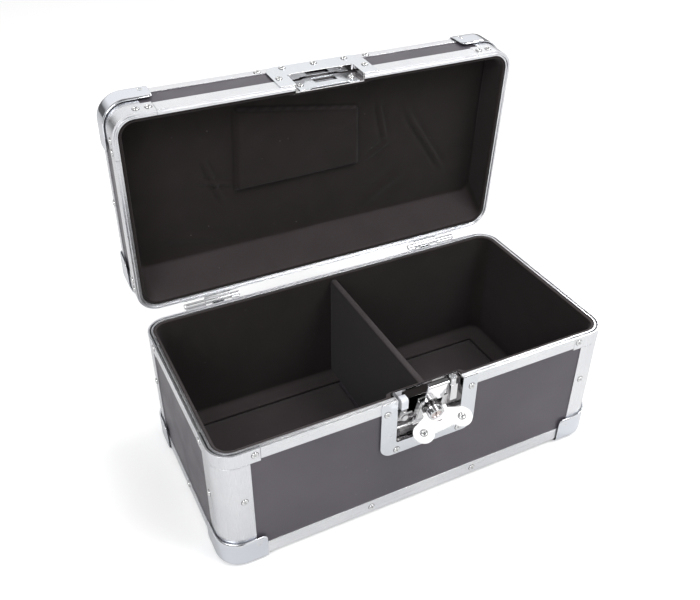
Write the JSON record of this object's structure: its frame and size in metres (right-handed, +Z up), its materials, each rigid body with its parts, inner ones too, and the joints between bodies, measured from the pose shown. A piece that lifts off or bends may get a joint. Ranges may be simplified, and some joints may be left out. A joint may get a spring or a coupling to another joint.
{
  "type": "record carrying case",
  "caption": "Aluminium framed carrying case for small records: lined box with a divider, hinged lid, butterfly key latch, corner caps and a folding bail handle.",
  "frame": {"origin": "on the floor under the feet, at the middle of the open case's footprint box; the box body itself is centred in X and its middle is 12.16 mm in front of the origin", "axes": "+X along the case's length to the right of someone facing the latch, -Y the latch side, +Z up; stored with the lid standing open and the latch swung out"},
  "size_m": [0.461, 0.3324, 0.4023],
  "materials": {
    "laminate_board": "satin dark grey laminate over plywood",
    "aluminium_section": "finely brushed",
    "bright_steel": "bright plated, smooth",
    "steel_pin": "plain",
    "rivet_metal": "bright",
    "brass_plug": "nickel plated brass",
    "lining_cloth": "foam backed cloth, matt",
    "divider_board": "cloth covered board",
    "black_rubber": "moulded",
    "pale_plastic": "moulded"
  },
  "bodies": {
    "case": {"back_panel": "laminate_board", "base_corner_caps": "bright_steel", "base_edge_angles": "aluminium_section", "base_panel": "laminate_board", "body_lining": "lining_cloth", "body_rim_back": "aluminium_section", "body_rim_corners": "aluminium_section", "body_rim_ends": "aluminium_section", "body_rim_front": "aluminium_section", "body_rivets": "rivet_metal", "corner_posts": "aluminium_section", "divider": "divider_board", "end_panels": "laminate_board", "floor_pads": "lining_cloth", "foot_screws": "steel_pin", "front_panel": "laminate_board", "hinge_body_leaves": "bright_steel", "hinge_body_rivets": "rivet_metal", "hinge_pins": "steel_pin", "latch_cloth_cover": "lining_cloth", "latch_dish": "bright_steel", "latch_dish_rivets": "rivet_metal", "latch_guide_block": "pale_plastic", "latch_pivot_pin": "steel_pin", "locating_peg": "bright_steel", "return_spring": "steel_pin", "rubber_feet": "black_rubber", "spring_stud": "steel_pin"},
    "lid": {"handle_lugs": "bright_steel", "handle_rivets": "rivet_metal", "handle_tray": "bright_steel", "hinge_lid_leaves": "bright_steel", "hinge_lid_rivets": "rivet_metal", "keeper": "bright_steel", "lid_back_panel": "laminate_board", "lid_corner_caps": "bright_steel", "lid_corner_posts": "aluminium_section", "lid_dish": "bright_steel", "lid_dish_rivets": "rivet_metal", "lid_edge_angles": "aluminium_section", "lid_end_panels": "laminate_board", "lid_front_panel": "laminate_board", "lid_latch_cloth_cover": "lining_cloth", "lid_lining": "lining_cloth", "lid_padded_panel": "lining_cloth", "lid_rim_back": "aluminium_section", "lid_rim_corners": "aluminium_section", "lid_rim_ends": "aluminium_section", "lid_rim_front": "aluminium_section", "lid_rivets": "rivet_metal", "lid_top_panel": "laminate_board"},
    "latch": {"latch_arm": "bright_steel"},
    "hook": {"draw_hook": "bright_steel"},
    "head": {"turning_head": "bright_steel"},
    "key": {"key_plug": "brass_plug"},
    "wing": {"butterfly_wing": "bright_steel", "wing_studs": "bright_steel"},
    "handle": {"handle_bail": "bright_steel", "handle_grip": "black_rubber"}
  },
  "joints": [
    {"name": "lid_hinge", "type": "hinge", "parent": "case", "child": "lid", "pos_m": [0, 0.11224, 0.156], "axis": [1, 0, 0], "range_deg": [0, 86.6]},
    {"name": "latch_swing", "type": "hinge", "parent": "case", "child": "latch", "pos_m": [0, -0.12156, 0.11], "axis": [-1, 0, 0], "range_deg": [0, 14.2], "stiffness_Nm_per_rad": 0.05, "springref_deg": -17.19},
    {"name": "head_turn", "type": "hinge", "parent": "latch", "child": "head", "pos_m": [0, -0.12821, 0.13627], "axis": [0, -0.9694, -0.2453], "range_deg": [0, 171]},
    {"name": "hook_slide", "type": "slide", "parent": "latch", "child": "hook", "axis": [0, 0.2453, -0.9694], "range_m": [0, 0.00761]},
    {"name": "key_turn", "type": "hinge", "parent": "head", "child": "key", "pos_m": [0, -0.12821, 0.13627], "axis": [0, -0.9694, -0.2453], "range_deg": [0, 90]},
    {"name": "wing_fold", "type": "hinge", "parent": "head", "child": "wing", "pos_m": [0, -0.13819, 0.13375], "axis": [0.9877, -0.0384, 0.1517], "range_deg": [0, 88]},
    {"name": "handle_fold", "type": "hinge", "parent": "lid", "child": "handle", "pos_m": [0, 0.15014, 0.30892], "axis": [1, 0, 0], "range_deg": [0, 90]}
  ],
  "couplings": [
    {"joint": "hook_slide", "follows": "head_turn", "m_per_rad": 0.0025465}
  ]
}
